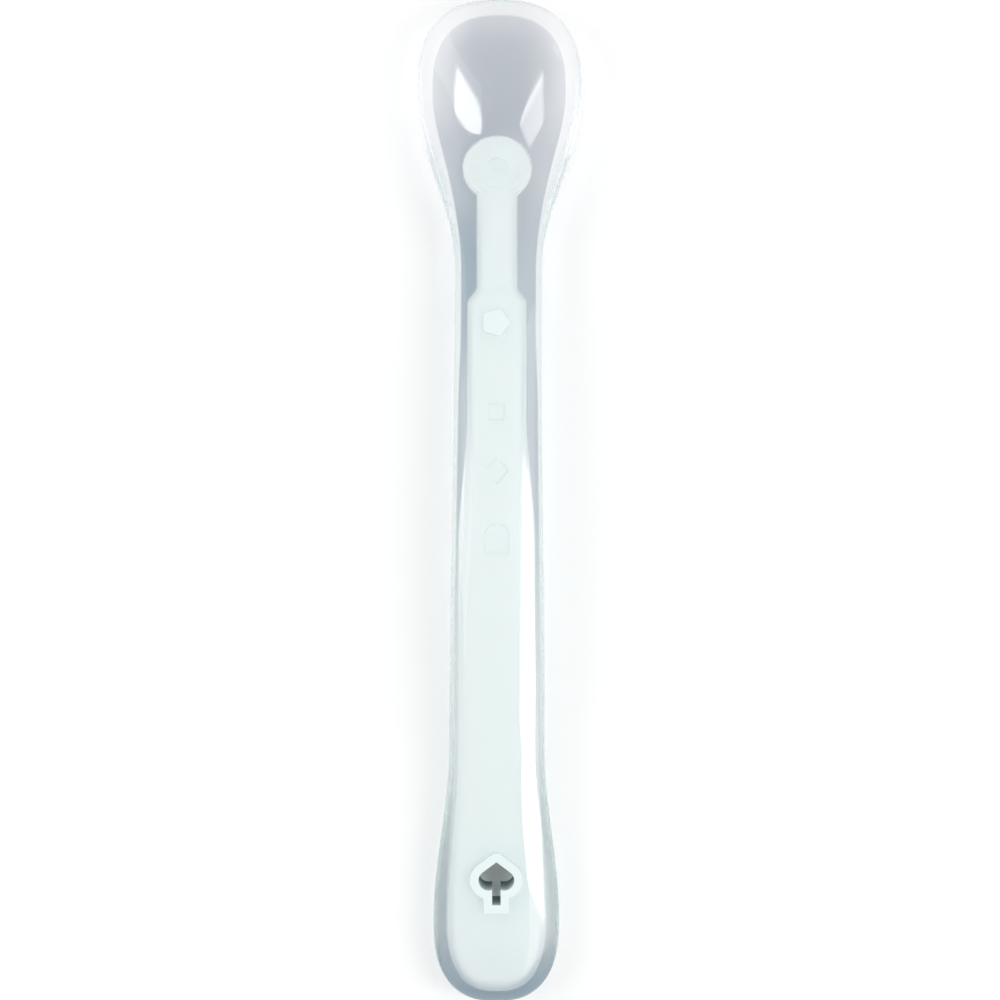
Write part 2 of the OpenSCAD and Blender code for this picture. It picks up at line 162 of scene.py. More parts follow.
class SpoonCoreSizes(bpy.types.PropertyGroup):
    """Sizes and places of the stiff core."""
    disc_d: length("Disc", "Diameter of the disc", 10.5)
    disc_t: length("Disc thickness", "Thickness of the disc", 1.5)
    disc_at: length("Disc place", "Middle of the disc", 25.9)
    boss_wall: length("Boss wall", "Silicone round the disc in the boss over it", 0.35)
    boss_skin: length("Boss skin", "Silicone over the disc", 0.3)
    disc_step_w: length("Disc step width", "Width of the step round the disc", 0.7)
    disc_step_h: length("Disc step height", "Height of the steps on the disc", 0.3)
    ring_d: length("Ring", "Diameter of the raised ring on the disc", 7.2)
    sink_d: length("Sink", "Diameter of the sink in the disc", 3.3)
    dot_d: length("Dot", "Diameter of the dot in the sink", 1.1)
    core_neck_w: length("Core neck width", "Width of the neck of the core", 6.2)
    core_neck_t: length("Core neck thickness", "Thickness of the neck of the core", 3.8)
    core_step_ramp: length("Step ramp", "Half the length over which the core thickens at its step", 1.6)
    core_shoulder_len: length("Shoulder length", "Length of the shoulder of the core", 2.5)
    core_step_at: length("Core step", "Place where the core steps up", 44.7)
    core_shoulder_w: length("Shoulder width", "Width of the core behind its shoulder", 9.1)
    core_grip_w: length("Core grip width", "Width of the core at the middle of the grip", 11.7)
    core_grip_t: length("Core grip thickness", "Thickness of the core in the grip", 5.0)
    core_tail_w: length("Core tail width", "Width of the core in the tail", 14.8)
    end_skin_t: length("End skin", "Silicone past the end of the core", 2.0)
    core_turn: angle("Core turn", "Turn of the core in the silicone about its keyhole", 0.154)
    core_power: share("Core power", "Power of the section of the core", 3.0)
    core_steps: IntProperty(name="Core steps", description="Faces in a quarter of the section", default=14)
    hole_back: length("Keyhole place", "From the end to the point of the keyhole", 22.3)
    hole_head_h: length("Keyhole head", "Point of the keyhole to the middle of its lobes", 2.85)
    lobe_gap: length("Lobe gap", "Distance between the middles of the lobes", 2.4)
    lobe_r: length("Lobe radius", "Radius of each lobe", 1.55)
    stem_w: length("Stem width", "Width of the stem of the keyhole", 1.3)
    hole_len: length("Keyhole length", "Point of the keyhole to the end of its stem", 6.7)
    collar_wall: length("Collar wall", "Wall of the collar", 1.3)
    collar_proud: length("Collar height", "Height of the collar above the silicone", 0.2)
    # Painted shade down the keyhole reaches full darkness at this depth.
    keyhole_dusk: length("Keyhole dusk", "Depth at which the keyhole has turned dark", 6.0)
    collar_sink: length("Collar back", "Depth of the back of the collar below the skin", 0.4)
    stud_at: length("Stud place", "Middle of the stud", 50.3)
    stud_d: length("Stud", "Diameter round the corners of the stud", 4.4)
    stud_round: length("Stud corners", "Radius of the corners of the stud", 0.5)
    stud_proud: length("Stud height", "Height of the stud above the silicone", 0.15)
    square_at: length("Square place", "Middle of the square", 63.9)
    square_w: length("Square", "Side of the square", 2.0)
    diamond_at: length("Diamond place", "Middle of the diamond", 72.9)
    diamond_w: length("Diamond width", "Width of the diamond", 3.3)
    diamond_len: length("Diamond length", "Length of the diamond", 3.6)
    arch_base_at: length("Arch figure place", "Place of the base of the arch figure", 85.1)
    arch_w: length("Arch figure width", "Width of the arch figure", 3.4)
    arch_len: length("Arch figure length", "Length of the arch figure", 4.1)
    figure_depth: length("Figure depth", "Depth of the sunk figures", 0.3)
    figure_slope: length("Figure slope", "Width of the sloped walls of the sunk figures", 0.35)
    edge_round: length("Edge rounding", "Rounding of the edges of the stud and the disc", 0.18)


class SpoonFinishes(bpy.types.PropertyGroup):
    """Colours and gloss of the two materials."""
    # One plastic in two tints: the covered core is lighter as painted light for what the silicone holds back;
    # the keyhole tint is painted shade.
    core_painted_light_tint: colour("Core", "Colour of the core under the silicone", (0.875, 0.928, 0.922))
    core_bare_tint: colour("Bare core", "Colour of the core where it stands bare", (0.79, 0.888, 0.88))
    keyhole_painted_shade: colour("Keyhole", "Colour of the core down the keyhole", (0.12, 0.165, 0.17))
    silicone_tint: colour("Silicone", "Tint of the clear silicone", (1.0, 1.0, 1.0))
    # Painted shade: the bowl and neck tints stand in for the shadow seen through the silicone past the core.
    bowl_painted_shade: colour("Bowl", "Tint of the thin silicone of the bowl", (0.40, 0.435, 0.485))
    neck_painted_shade: colour("Neck and tail", "Tint of the thick silicone beside the core", (0.176, 0.25, 0.325))
    silicone_depth_tint: colour("Silicone depth", "Colour that deep silicone takes", (0.6, 0.8, 1.0))
    silicone_density: share("Silicone density", "Absorption of light in the silicone, per metre", 4.0)
    silicone_ior: share("Silicone index", "Index of refraction of the silicone", 1.41)
    coat_ior: share("Coat index", "Index of refraction of the polish on the silicone", 2.4)
    silicone_rough: share("Silicone roughness", "Roughness of the polished upper side of the silicone", 0.03)
    silicone_satin: share("Silicone satin", "Roughness of the satin underside of the silicone", 0.4)
    core_rough: share("Core roughness", "Roughness of the core", 0.4)
    grain: length("Grain", "Size of the fine grain of both surfaces", 0.6)


class SpoonStudio(bpy.types.PropertyGroup):
    """Camera, floor and lamps."""
    camera_h: length("Camera height", "Height of the camera above the table", 450.0)
    camera_lens: share("Camera lens", "Focal length of the camera, in millimetres", 103.5)
    camera_roll: angle("Camera roll", "Turn of the camera about the view", 0.2)
    floor_tint: colour("Floor", "Colour of the floor", (0.97, 0.97, 0.97))
    floor_glow: share("Floor glow", "Light that the floor shows to the camera", 0.03)
    world_level: share("World", "Strength of the light all round", 0.8)
    lamp_distance: length("Lamp distance", "Distance of both lamps from the middle of the spoon", 1500.0)
    right_power: share("Right power", "Power of the right lamp, in watts", 5.4)
    right_w: length("Right width", "Width of the right lamp", 789.0)
    right_h: length("Right height", "Height of the right lamp", 1118.0)
    right_lean: angle("Right lean", "Angle between upright and the right lamp", 44.3)
    right_swing: angle("Right swing", "Turn of the right lamp towards the bowl", -4.76)
    right_turn: angle("Right turn", "Turn of the right lamp about its own axis", 0.9)
    left_power: share("Left power", "Power of the left lamp, in watts", 3.6)
    left_w: length("Left width", "Width of the left lamp", 965.0)
    left_h: length("Left height", "Height of the left lamp", 633.0)
    left_lean: angle("Left lean", "Angle between upright and the left lamp", 50.2)
    left_swing: angle("Left swing", "Turn of the left lamp towards the bowl", 10.2)
    left_turn: angle("Left turn", "Turn of the left lamp about its own axis", -54.8)


PROPERTY_GROUPS = {
    "spoon_body": SpoonBodySizes,
    "spoon_core": SpoonCoreSizes,
    "spoon_finishes": SpoonFinishes,
    "spoon_studio": SpoonStudio,
}


def sizes_of(scene):
    """All sizes of the body and the core in one plain namespace, with what follows from them."""
    values = {}
    for group in ("spoon_body", "spoon_core"):
        settings = getattr(scene, group)
        for key in settings.bl_rna.properties.keys():
            if key not in ("rna_type", "name"):
                values[key] = getattr(settings, key)
    d = SimpleNamespace(**values)
    d.lip_crest_w = d.lip_w / 2
    d.edge_h = d.rim_h - d.lip_crest_w
    d.hollow_depth = d.rim_h - d.floor_t
    d.tail_flare_at = d.spoon_len - d.tail_flare
    d.tail_wide_at = d.spoon_len - d.tail_wide
    d.tail_seat_at = d.spoon_len - d.tail_seat
    d.core_end_at = d.spoon_len - d.end_skin_t
    d.neck_full_at = d.neck_at - d.lip_end_w
    d.hole_middle_at = d.spoon_len - d.hole_back + d.hole_len / 2
    d.quarter = d.lip_steps + d.inner_steps + d.hollow_steps
    return d


# Blends

def clamped(t):
    return min(1.0, max(0.0, t))


def ease(t):
    return (1 - math.cos(math.pi * clamped(t))) / 2


def between(s, start, end):
    return ease((s - start) / (end - start))


def mix(a, b, t):
    return a + (b - a) * t


def round_end(t, power):
    """Rises from nothing to one as an end is rounded off."""
    return (1 - (1 - clamped(t)) ** power) ** (1 / power)


def swell(t, power):
    """Rises from nothing to one at a slope that eases off."""
    return 1 - (1 - clamped(t)) ** power


def curved(v, power):
    return max(0.0, v) ** (2 / power)


# Outlines and heights along the spoon

def side_half(d, s):
    w = mix(d.bowl_w, d.neck_w, between(s, d.bowl_wide_at, d.neck_at))
    w = mix(w, d.grip_w, between(s, d.neck_at + d.neck_w / 2, d.tail_flare_at))
    return mix(w, d.tail_w, between(s, d.tail_flare_at, d.tail_wide_at)) / 2


def outer_half(d, s):
    front = round_end(s / d.bowl_wide_at, d.end_power)
    back = round_end((d.spoon_len - s) / d.tail_wide, d.end_power)
    return side_half(d, s) * front * back


def inset_half(d, s, set_in, least_share):
    inside = (side_half(d, s) - set_in) * round_end((s - set_in) / (d.bowl_wide_at - set_in), d.end_power)
    return max(outer_half(d, s) * least_share, inside)


def shell_power(d, s):
    """Rounder at the front of the bowl and flatter at the back."""
    return mix(d.hollow_power, d.hollow_back_power, between(s, d.lip_w, d.hollow_end_at))


def lip_at(d, s):
    return mix(d.lip_w, d.lip_end_w, between(s, d.lip_narrow_at, d.hollow_end_at))


def middle_h(d, s):
    rise = clamped((s - d.lip_narrow_at) / (d.arch_at - d.lip_narrow_at))
    h = mix(d.neck_h, d.arch_h, math.sin(math.pi / 2 * rise))
    return mix(h, d.tail_t / 2, between(s, d.arch_at, d.tail_seat_at))


def half_t(d, s):
    t = mix(d.neck_t, d.grip_t, between(s, d.neck_at, d.arch_at))
    t = mix(t, d.tail_t, between(s, d.arch_at, d.tail_seat_at))
    return t / 2 * round_end((d.spoon_len - s) / d.tail_t * 2, 2)


def neck_blend(d, s):
    return between(s, d.lip_narrow_at, d.neck_at)


def section_power(d, s):
    """Squarer at the neck and rounder along the grip."""
    return mix(d.neck_power, d.grip_power, between(s, d.neck_at, d.arch_at))


def hollow_at(d, s):
    front = swell((s - d.lip_w) / (d.bowl_deep_at - d.lip_w), d.hollow_power)
    return (d.hollow_depth - d.lip_fall) * front * (1 - between(s, d.bowl_deep_at, d.hollow_end_at))


def inset_of(d, x, s, most):
    """How far a place lies inside the outline of the bowl, up to a most."""
    if s >= d.bowl_wide_at:
        return clamped((side_half(d, s) - x) / most) * most
    low, high = 0.0, most
    for _ in range(24):
        middle = (low + high) / 2
        across = x / (side_half(d, s) - middle)
        along = (d.bowl_wide_at - s) / (d.bowl_wide_at - middle)
        if across ** d.end_power + along ** d.end_power > 1:
            high = middle
        else:
            low = middle
    return high


def bowl_top(d, x, s):
    """Height of the upper side: over the rounded lip and down into the hollow."""
    lip = lip_at(d, s)
    inset = inset_of(d, x, s, lip) / lip * 2
    if inset < 1:
        return mix(d.edge_h, d.rim_h, round_end(inset, 2))
    fall = d.lip_fall * (1 - between(s, d.bowl_deep_at, d.hollow_end_at))
    edge = mix(d.rim_h - fall, d.rim_h, round_end(2 - inset, 2))
    inner = inset_half(d, s, lip, 0)
    if s <= lip or x >= inner:
        return edge
    return edge - hollow_at(d, s) * (1 - (x / inner) ** shell_power(d, s))


def under_line(d, s):
    bowl = d.edge_h * (1 - round_end(s / d.bowl_deep_at, d.keel_power))
    return mix(bowl, middle_h(d, s) - half_t(d, s), between(s, d.bowl_deep_at, d.neck_at))


def top_line(d, s):
    return mix(bowl_top(d, 0.0, s), middle_h(d, s) + half_t(d, s), neck_blend(d, s))


def core_line(d, s):
    return (top_line(d, s) + under_line(d, s)) / 2


# Rings across the spoon

def quarter_turn(i, steps):
    a = math.pi / 2 * i / steps
    return math.cos(a), math.sin(a)


def under_quarter(d, s):
    """Round the lower edge of the lip and down the outside of the shell."""
    outer, bottom, power = outer_half(d, s), under_line(d, s), shell_power(d, s)
    drop = d.edge_h - bottom
    radius = min(d.lip_under, outer / 2, drop / 2)
    turn = math.atan2(outer, drop * power)
    x_from, z_from = outer - radius * (1 - math.cos(turn)), d.edge_h - radius * math.sin(turn)
    points = []
    for i in range(1, d.lip_steps + 1):
        a = turn * i / d.lip_steps
        points.append((outer - radius * (1 - math.cos(a)), d.edge_h - radius * math.sin(a)))
    steps = d.under_steps - d.lip_steps
    for i in range(1, steps + 1):
        c, n = quarter_turn(i, steps)
        points.append((x_from * c, mix(bottom, z_from, c ** power)))
    return points


def bowl_quarter(d, s):
    """Over the lip and down into the hollow."""
    outer, crest = outer_half(d, s), inset_half(d, s, lip_at(d, s) / 2, 0.7)
    inner = inset_half(d, s, lip_at(d, s), 0.5)
    places = []
    for i in range(d.lip_steps + 1):
        places.append(mix(crest, outer, quarter_turn(i, d.lip_steps)[0]))
    for i in range(1, d.inner_steps + 1):
        places.append(mix(crest, inner, quarter_turn(i, d.inner_steps)[1]))
    for i in range(1, d.hollow_steps + 1):
        places.append(inner * quarter_turn(i, d.hollow_steps)[0])
    return [(x, bowl_top(d, x, s)) for x in places]


def grip_quarter(d, s):
    points, power = [], section_power(d, s)
    for i in range(d.quarter + 1):
        c, n = quarter_turn(i, d.quarter)
        points.append((outer_half(d, s) * curved(c, power), middle_h(d, s) + half_t(d, s) * curved(n, power)))
    return points


def full_ring(d, upper, lower, s):
    """Turns the right-hand quarters into a closed ring."""
    y = d.spoon_len / 2 - s
    right_top = [(x, y, z) for x, z in upper]
    left_top = [(-x, y, z) for x, z in reversed(upper[:-1])]
    left_under = [(-x, y, z) for x, z in lower]
    right_under = [(x, y, z) for x, z in reversed(lower[:-1])]
    return right_top + left_top + left_under + right_under


def body_ring(d, s):
    t = neck_blend(d, s)
    pairs = zip(bowl_quarter(d, s), grip_quarter(d, s))
    upper = [(mix(a[0], b[0], t), mix(a[1], b[1], t)) for a, b in pairs]
    power, middle, under = section_power(d, s), middle_h(d, s), under_line(d, s)
    lower = []
    for i, (x, z) in enumerate(under_quarter(d, s), 1):
        c, n = quarter_turn(i, d.under_steps)
        side, depth = outer_half(d, s) * curved(c, power), mix(middle, under, curved(n, power))
        lower.append((mix(x, side, t), mix(z, depth, t)))
    return full_ring(d, upper, lower, s)


def core_half(d, s, seen=False):
    """Half of the width of the core, or of the width at which it is seen through the silicone."""
    shoulder = d.core_step_at + d.core_shoulder_len
    grows = (d.diamond_at - d.diamond_len / 2, d.tail_flare_at)
    if seen:
        grows = (d.square_at, d.arch_base_at)
    half = mix(d.core_neck_w, d.core_shoulder_w, between(s, d.core_step_at, shoulder))
    half = mix(half, d.core_grip_w, between(s, *grows))
    tail = d.core_tail_w + (TAIL_SEEN_WIDER if seen else 0.0)
    half = mix(half, tail, between(s, d.tail_flare_at, d.tail_wide_at)) / 2
    return half * round_end((d.core_end_at - s) / (d.tail_wide - d.end_skin_t), d.end_power)


def core_step(d):
    """Places where the step in the thickness of the core starts and ends."""
    return d.core_step_at - d.core_step_ramp, d.core_step_at + d.core_step_ramp


def core_ring(d, s):
    half = core_half(d, s)
    thick = mix(d.disc_t - d.disc_step_h, d.core_neck_t, between(s, d.disc_at, d.neck_at))
    step_from, step_to = core_step(d)
    thick = mix(thick, d.core_grip_t, between(s, step_from, step_to)) / 2
    thick *= round_end((d.core_end_at - s) / d.core_grip_t * 2, 2)
    middle = core_line(d, s)
    steps = [quarter_turn(i, d.core_steps) for i in range(d.core_steps + 1)]
    upper = [(half * curved(c, d.core_power), middle + thick * curved(n, d.core_power)) for c, n in steps]
    lower = [(half * curved(c, d.core_power), middle - thick * curved(n, d.core_power)) for c, n in steps[1:]]
    return full_ring(d, upper, lower, s)


def even(start, end, count):
    """Places spread evenly, without the last."""
    return [mix(start, end, i / count) for i in range(count)]


def gathered(tip, wide, count):
    """Places closer together towards a rounded tip, without the tip itself."""
    return [mix(tip, wide, 1 - math.cos(math.pi / 2 * i / count)) for i in range(1, count + 1)]


def body_places(d):
    front = gathered(0, d.bowl_wide_at, 60)[:-1]
    shoulder = d.core_step_at + d.core_shoulder_len
    neck = even(d.bowl_wide_at, d.neck_at, 80) + even(d.neck_at, d.core_step_at, 12)
    grip = even(d.core_step_at, shoulder, 18) + even(shoulder, d.tail_flare_at, 60)
    back = even(d.tail_flare_at, d.tail_wide_at, 30)
    return front + neck + grip + back + gathered(d.spoon_len, d.tail_wide_at, 60)[::-1]


def core_places(d):
    step_from, step_to = core_step(d)
    shoulder = d.core_step_at + d.core_shoulder_len
    front = even(d.disc_at, step_from, 30) + even(step_from, step_to, 8) + even(step_to, shoulder, 16)
    middle = even(shoulder, d.tail_flare_at, 60) + even(d.tail_flare_at, d.tail_wide_at, 30)
    return front + middle + gathered(d.core_end_at, d.tail_wide_at, 24)[::-1]


def beyond(first, second, x, s):
    """How far a place lies beyond the line through two corners."""
    (x1, s1), (x2, s2) = first, second
    return ((x2 - x1) * (s - s1) - (s2 - s1) * (x - x1)) / math.hypot(x2 - x1, s2 - s1)


def depth_inside(corners, x, s):
    """How far a place lies inside an outline with its corners in turn."""
    return min(beyond(*ends, x, s) for ends in zip(corners, corners[1:] + corners[:1]))


# Modelling

def select_only(obj):
    """Makes one object the only one selected, and active."""
    bpy.ops.object.select_all(action="DESELECT")
    obj.select_set(True)
    bpy.context.view_layer.objects.active = obj


def settle(obj, name):
    """Names a finished piece and puts its place into its mesh."""
    select_only(obj)
    bpy.ops.object.transform_apply(location=True, rotation=True, scale=True)
    obj.name = obj.data.name = name
    return obj


def apply_modifier(obj, kind, **settings):
    """Adds a modifier with its settings and applies it."""
    select_only(obj)
    modifier = obj.modifiers.new(kind.title(), kind)
    for key, value in settings.items():
        setattr(modifier, key, value)
    bpy.ops.object.modifier_apply(modifier=modifier.name)


def loft(name, start, rings, finish):
    """Draws a round ball out into a closed skin over a row of rings."""
    bpy.ops.object.select_all(action="DESELECT")
    count = len(rings[0])
    bpy.ops.mesh.primitive_uv_sphere_add(segments=count, ring_count=len(rings) + 1, radius=1.0)
    obj = bpy.context.active_object
    for v in obj.data.vertices:
        row = round(math.acos(max(-1.0, min(1.0, v.co.z))) / math.pi * (len(rings) + 1))
        if row == 0:
            v.co = start
        elif row == len(rings) + 1:
            v.co = finish
        else:
            turn = math.atan2(v.co.y, v.co.x) / (2 * math.pi)
            v.co = rings[row - 1][round(turn * count) % count]
    settle(obj, name)
    face_outwards(obj)
    return obj


def mode(kind):
    bpy.ops.object.mode_set(mode=kind)


def face_outwards(obj):
    """Recalculates the normals of a closed mesh."""
    select_only(obj)
    mode("EDIT")
    bpy.ops.mesh.select_all(action="SELECT")
    bpy.ops.mesh.normals_make_consistent(inside=False)
    mode("OBJECT")


def seat_matrix(d, s, height=0.0):
    """Place on the middle surface, turned to its slope."""
    step = d.disc_step_w
    slope = math.atan2(core_line(d, s - step) - core_line(d, s + step), 2 * step)
    place = Matrix.Translation((0, d.spoon_len / 2 - s, core_line(d, s)))
    return place @ Matrix.Rotation(slope, 4, "X") @ Matrix.Translation((0, 0, height))


def turn_matrix(d):
    """Slight turn of the core in the silicone about its keyhole."""
    pivot = Vector((0, d.spoon_len / 2 - d.hole_middle_at, 0))
    return Matrix.Translation(pivot) @ Matrix.Rotation(d.core_turn, 4, "Z") @ Matrix.Translation(-pivot)


def disc_matrix(d):
    """Place on the chord of the middle surface across the disc."""
    front, back = d.disc_at - d.disc_d / 2, d.disc_at + d.disc_d / 2
    slope = math.atan2(core_line(d, front) - core_line(d, back), d.disc_d)
    middle = (core_line(d, front) + core_line(d, back)) / 2
    return Matrix.Translation((0, d.spoon_len / 2 - d.disc_at, middle)) @ Matrix.Rotation(slope, 4, "X")


def place_piece(obj, matrix):
    """Moves a piece by a matrix and keeps the move in its mesh."""
    obj.matrix_world = matrix @ obj.matrix_world
    select_only(obj)
    bpy.ops.object.transform_apply(location=True, rotation=True, scale=True)


def cylinder(d_out, low, high, sides=96):
    """An upright round post from a low to a high level."""
    bpy.ops.object.select_all(action="DESELECT")
    bpy.ops.mesh.primitive_cylinder_add(vertices=sides, radius=d_out / 2, depth=high - low,
                                        location=(0, 0, (low + high) / 2))
    obj = bpy.context.active_object
    bpy.ops.object.transform_apply(location=True, rotation=True, scale=True)
    return obj


def inset_top(obj, width):
    """Draws an inner edge on the flat top of a post."""
    select_only(obj)
    mode("EDIT")
    bpy.ops.mesh.select_mode(type="FACE")
    bpy.ops.mesh.select_all(action="DESELECT")
    mode("OBJECT")
    max(obj.data.polygons, key=lambda face: face.center.z).select = True
    mode("EDIT")
    bpy.ops.mesh.inset(thickness=width)
    mode("OBJECT")


def prism(outline, low, high, flare=1.0):
    """A flat outline pushed up from a low to a high level, and flared out on the way."""
    bpy.ops.object.select_all(action="DESELECT")
    bpy.ops.mesh.primitive_circle_add(vertices=len(outline), radius=1.0, fill_type="NGON")
    obj = bpy.context.active_object
    for v, (x, y) in zip(obj.data.vertices, outline):
        v.co = (x, y, low)
    mode("EDIT")
    bpy.ops.mesh.select_all(action="SELECT")
    bpy.ops.mesh.extrude_region_move(TRANSFORM_OT_translate={"value": (0, 0, high - low)})
    middle = [sum(values) / len(outline) for values in zip(*outline)]
    bpy.ops.transform.resize(value=(flare, flare, 1), center_override=(*middle, 0))
    bpy.ops.mesh.select_all(action="SELECT")
    bpy.ops.mesh.normals_make_consistent(inside=False)
    mode("OBJECT")
    return obj


def arc(cx, cy, r, start, end, steps):
    """Points of an arc, with its angles in radians."""
    return [(cx + r * math.cos(mix(start, end, i / steps)), cy + r * math.sin(mix(start, end, i / steps)))
            for i in range(steps + 1)]


def spade(d, grow):
    """Outline of the keyhole about its middle, with its point up, made larger all round."""
    half_gap, middle = d.lobe_gap / 2, -d.hole_head_h
    lean = math.atan2(half_gap, d.hole_head_h) + math.asin(d.lobe_r / math.hypot(d.hole_head_h, half_gap))
    lobe, stem = d.lobe_r + grow, d.stem_w / 2 + grow
    meet = math.pi + math.acos((half_gap - stem) / lobe)
    foot_y = -d.hole_len - grow
    point = arc(0, 0, grow, math.pi / 2, lean, 12) if grow else [(0.0, 0.0)]
    half = point + arc(half_gap, middle, lobe, lean, meet - 2 * math.pi, 36) + [(stem, foot_y)]
    outline = half + [(-x, y) for x, y in reversed(half[1:])]
    return [(x, y + d.hole_len / 2) for x, y in outline]


def cut(obj, tool, operation="DIFFERENCE"):
    """Cuts one closed solid from another, or joins it on, and removes the tool."""
    apply_modifier(obj, "BOOLEAN", object=tool, operation=operation, solver="EXACT")
    bpy.data.objects.remove(tool)


def mark_faces(obj, name, value):
    """Gives every face of a piece one value of a mark."""
    marks = obj.data.attributes.new(name, "FLOAT", "CORNER")
    marks.data.foreach_set("value", [value] * len(obj.data.loops))


def shade(obj):
    """Smooth shading with crisp edges."""
    select_only(obj)
    bpy.ops.object.shade_smooth_by_angle(angle=SMOOTH_ANGLE)


# Materials

def new_material(name):
    material = bpy.data.materials.new(name)
    material.use_nodes = True
    return material, material.node_tree, material.node_tree.nodes["Principled BSDF"]


def math_node(tree, operation, first, second):
    """A math node fed by two outputs or numbers."""
    node = tree.nodes.new("ShaderNodeMath")
    node.operation = operation
    for socket, value in zip(node.inputs, (first, second)):
        if isinstance(value, (int, float)):
            socket.default_value = value
        else:
            tree.links.new(value, socket)
    return node.outputs[0]


def seen_directly(tree):
    """One for what the camera sees, also in gloss and through glass, and nothing for light on surfaces."""
    path = tree.nodes.new("ShaderNodeLightPath").outputs
    seen = math_node(tree, "MAXIMUM", path["Is Camera Ray"], path["Is Glossy Ray"])
    seen = math_node(tree, "MAXIMUM", seen, path["Is Transmission Ray"])
    unscattered = math_node(tree, "LESS_THAN", path["Diffuse Depth"], 0.5)
    return math_node(tree, "MULTIPLY", seen, unscattered)


def mark_value(tree, name):
    """The value of a mark on the mesh."""
    marks = tree.nodes.new("ShaderNodeAttribute")
    marks.attribute_name = name
    return marks.outputs["Fac"]


def marked_colour(tree, name, colours):
    """A colour that runs through a row of colours as a mark goes from nothing to one."""
    ramp = tree.nodes.new("ShaderNodeValToRGB")
    stops = ramp.color_ramp.elements
    for _ in colours[2:]:
        stops.new(0.5)
    for i, tint in enumerate(colours):
        stops[i].position = i / (len(colours) - 1)
        stops[i].color = (*tint, 1)
    tree.links.new(mark_value(tree, name), ramp.inputs["Fac"])
    return ramp.outputs["Color"]


def grain_group():
    """Shared fine grain of a moulded surface: an uneven gloss and a slight bump."""
    if "moulded_grain" in bpy.data.node_groups:
        return bpy.data.node_groups["moulded_grain"]
    tree = bpy.data.node_groups.new("moulded_grain", "ShaderNodeTree")
    for name, default in (("Size", 0.6 * MM), ("Roughness", 0.4), ("Variation", 0.1), ("Depth", 0.01 * MM)):
        socket = tree.interface.new_socket(name, in_out="INPUT", socket_type="NodeSocketFloat")
        socket.default_value = default
    tree.interface.new_socket("Roughness", in_out="OUTPUT", socket_type="NodeSocketFloat")
    tree.interface.new_socket("Normal", in_out="OUTPUT", socket_type="NodeSocketVector")
    nodes, links = tree.nodes, tree.links
    given, result = nodes.new("NodeGroupInput").outputs, nodes.new("NodeGroupOutput").inputs
    place = nodes.new("ShaderNodeTexCoord")
    fine, broad = nodes.new("ShaderNodeTexNoise"), nodes.new("ShaderNodeTexNoise")
    scale = math_node(tree, "DIVIDE", 1.0, given["Size"])
    for noise, part in ((fine, 1.0), (broad, 0.12)):
        links.new(place.outputs["Object"], noise.inputs["Vector"])
        links.new(math_node(tree, "MULTIPLY", scale, part), noise.inputs["Scale"])
        noise.inputs["Detail"].default_value = 3.0
    uneven = math_node(tree, "ADD", fine.outputs["Fac"], broad.outputs["Fac"])
    uneven = math_node(tree, "SUBTRACT", uneven, 1.0)
    uneven = math_node(tree, "MULTIPLY", uneven, given["Variation"])
    uneven = math_node(tree, "ADD", uneven, 1.0)
    uneven = math_node(tree, "MULTIPLY", uneven, given["Roughness"])
    links.new(uneven, result["Roughness"])
    bump = nodes.new("ShaderNodeBump")
    links.new(given["Depth"], bump.inputs["Distance"])
    links.new(fine.outputs["Fac"], bump.inputs["Height"])
    links.new(bump.outputs["Normal"], result["Normal"])
    return tree


def add_grain(tree, finishes, variation, depth_mm):
    """One use of the shared grain in a material."""
    grain = tree.nodes.new("ShaderNodeGroup")
    grain.node_tree = grain_group()
    grain.inputs["Size"].default_value = finishes.grain
    grain.inputs["Variation"].default_value = variation
    grain.inputs["Depth"].default_value = depth_mm * MM
    return grain


def silicone_material(finishes):
    """Clear glossy silicone, with painted shade where the eye looks past the core and a coat laid only where
    the highlights fall.
    """
    material, tree, shader = new_material("clear_silicone")
    links = tree.links
    # Painted shade: the bowl and neck tints stand in for the shadowed floor seen through the silicone.
    tints = (finishes.silicone_tint, finishes.bowl_painted_shade, finishes.neck_painted_shade)
    tint = marked_colour(tree, "see_through", tints)
    links.new(tint, shader.inputs["Base Color"])
    # Coat only where the highlights fall: painted highlight strength over real reflections.
    links.new(mark_value(tree, "polish"), shader.inputs["Coat Weight"])
    shader.inputs["Coat IOR"].default_value = finishes.coat_ior
    rise = finishes.silicone_satin - finishes.silicone_rough
    extra = math_node(tree, "MULTIPLY", mark_value(tree, "satin"), rise)
    grain = add_grain(tree, finishes, 0.5, 0.0005)
    links.new(math_node(tree, "ADD", extra, finishes.silicone_rough), grain.inputs["Roughness"])
    links.new(grain.outputs["Roughness"], shader.inputs["Roughness"])
    links.new(grain.outputs["Roughness"], shader.inputs["Coat Roughness"])
    links.new(grain.outputs["Normal"], shader.inputs["Normal"])
    shader.inputs["IOR"].default_value = finishes.silicone_ior
    shader.inputs["Transmission Weight"].default_value = 1.0
    absorption = tree.nodes.new("ShaderNodeVolumeAbsorption")
    absorption.inputs["Color"].default_value = (*finishes.silicone_depth_tint, 1)
    absorption.inputs["Density"].default_value = finishes.silicone_density
    links.new(absorption.outputs["Volume"], tree.nodes["Material Output"].inputs["Volume"])
    return material


def core_material(finishes):
    """Pale mint plastic, tinted lighter under the silicone than where it stands uncovered, as painted light,
    with painted shade down the keyhole and on the sunk figures' walls.
    """
    material, tree, shader = new_material("mint_plastic")
    links = tree.links
    tints = (finishes.core_painted_light_tint, finishes.core_bare_tint, finishes.keyhole_painted_shade)
    tint = marked_colour(tree, "bare", tints)
    links.new(tint, shader.inputs["Base Color"])
    grain = add_grain(tree, finishes, 0.3, 0.01)
    grain.inputs["Roughness"].default_value = finishes.core_rough
    links.new(grain.outputs["Roughness"], shader.inputs["Roughness"])
    links.new(grain.outputs["Normal"], shader.inputs["Normal"])
    return material


# Operators

